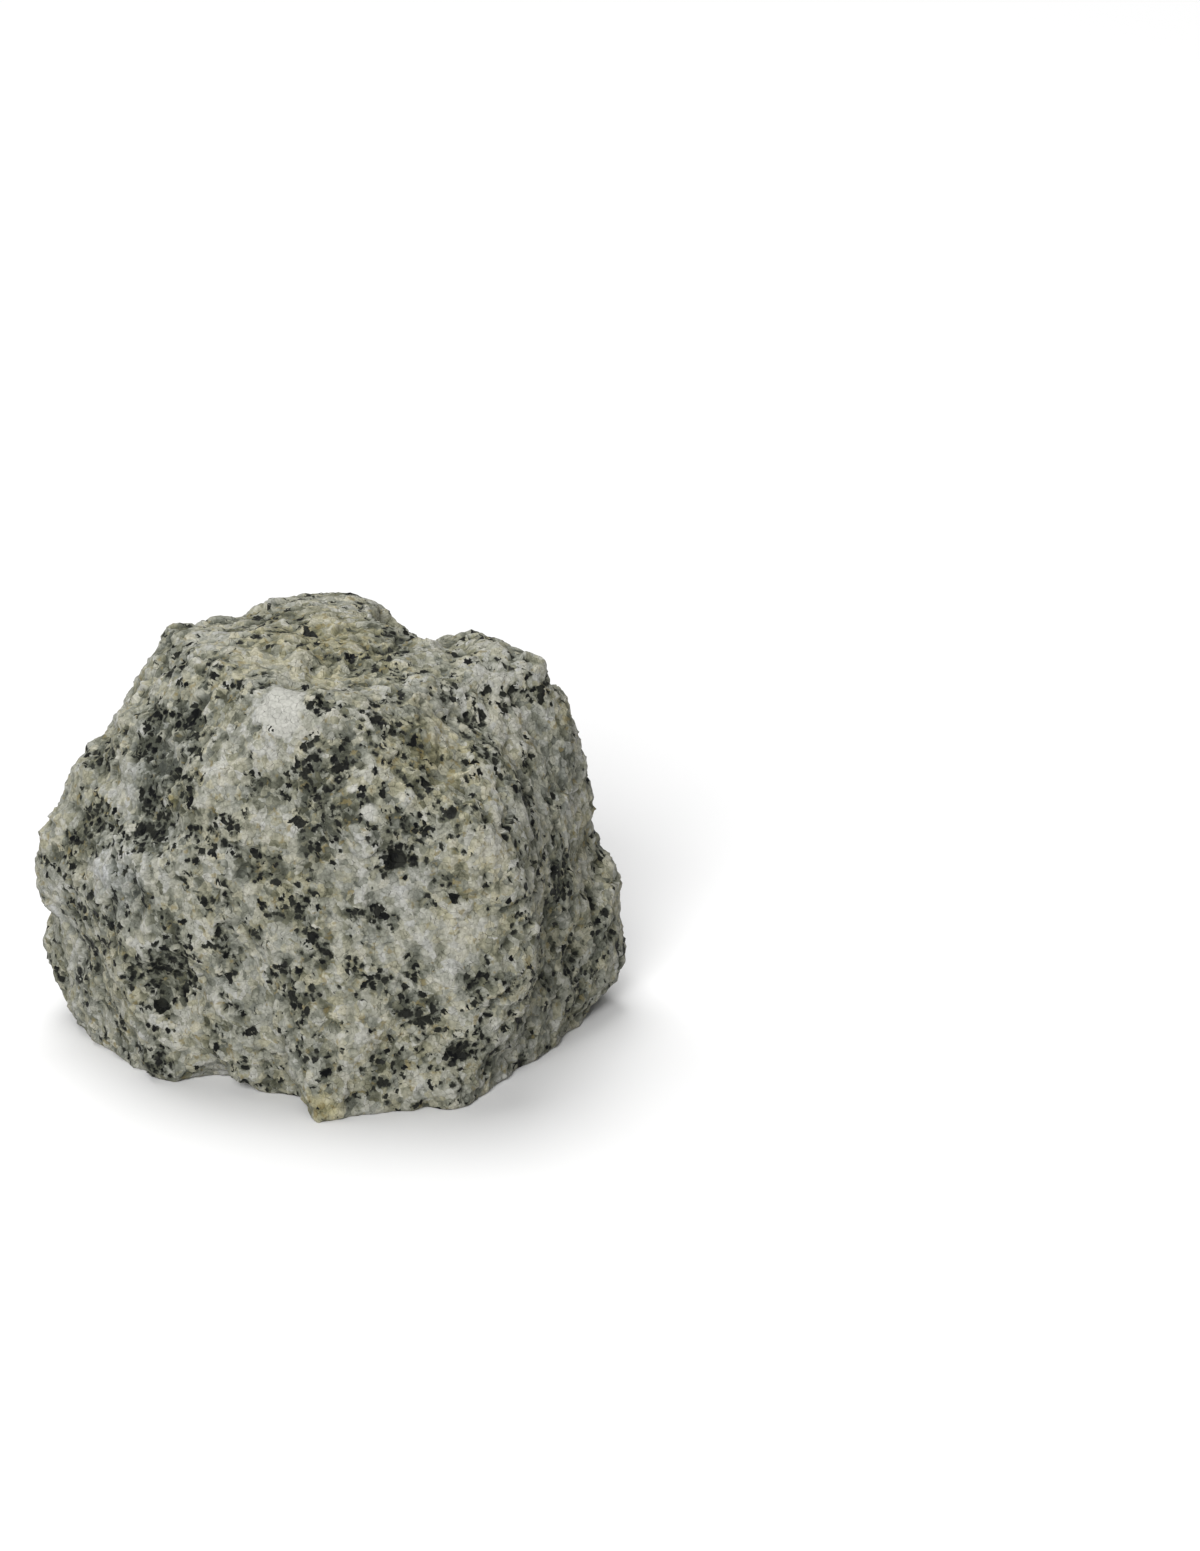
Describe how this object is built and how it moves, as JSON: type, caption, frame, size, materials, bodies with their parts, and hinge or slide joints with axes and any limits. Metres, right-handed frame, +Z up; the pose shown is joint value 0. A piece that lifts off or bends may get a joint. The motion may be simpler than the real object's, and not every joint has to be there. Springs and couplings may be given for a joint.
{
  "type": "rough rock",
  "caption": "Rough broken lump of grey granite with blunt edges, lumpy fracture faces and an uneven underside that it rests on.",
  "frame": {"origin": "middle of the bounding box, on the surface that the rock lies on", "axes": "+Z up, +X along the longest way across, -Y towards the viewer of the broad front face"},
  "size_m": [0.1226, 0.0982, 0.0864],
  "materials": {
    "granite": "rough broken granite, matt, speckled with black mica in pale grey and buff feldspar and quartz"
  },
  "bodies": {
    "root": {"rock": "granite"}
  },
  "joints": []
}
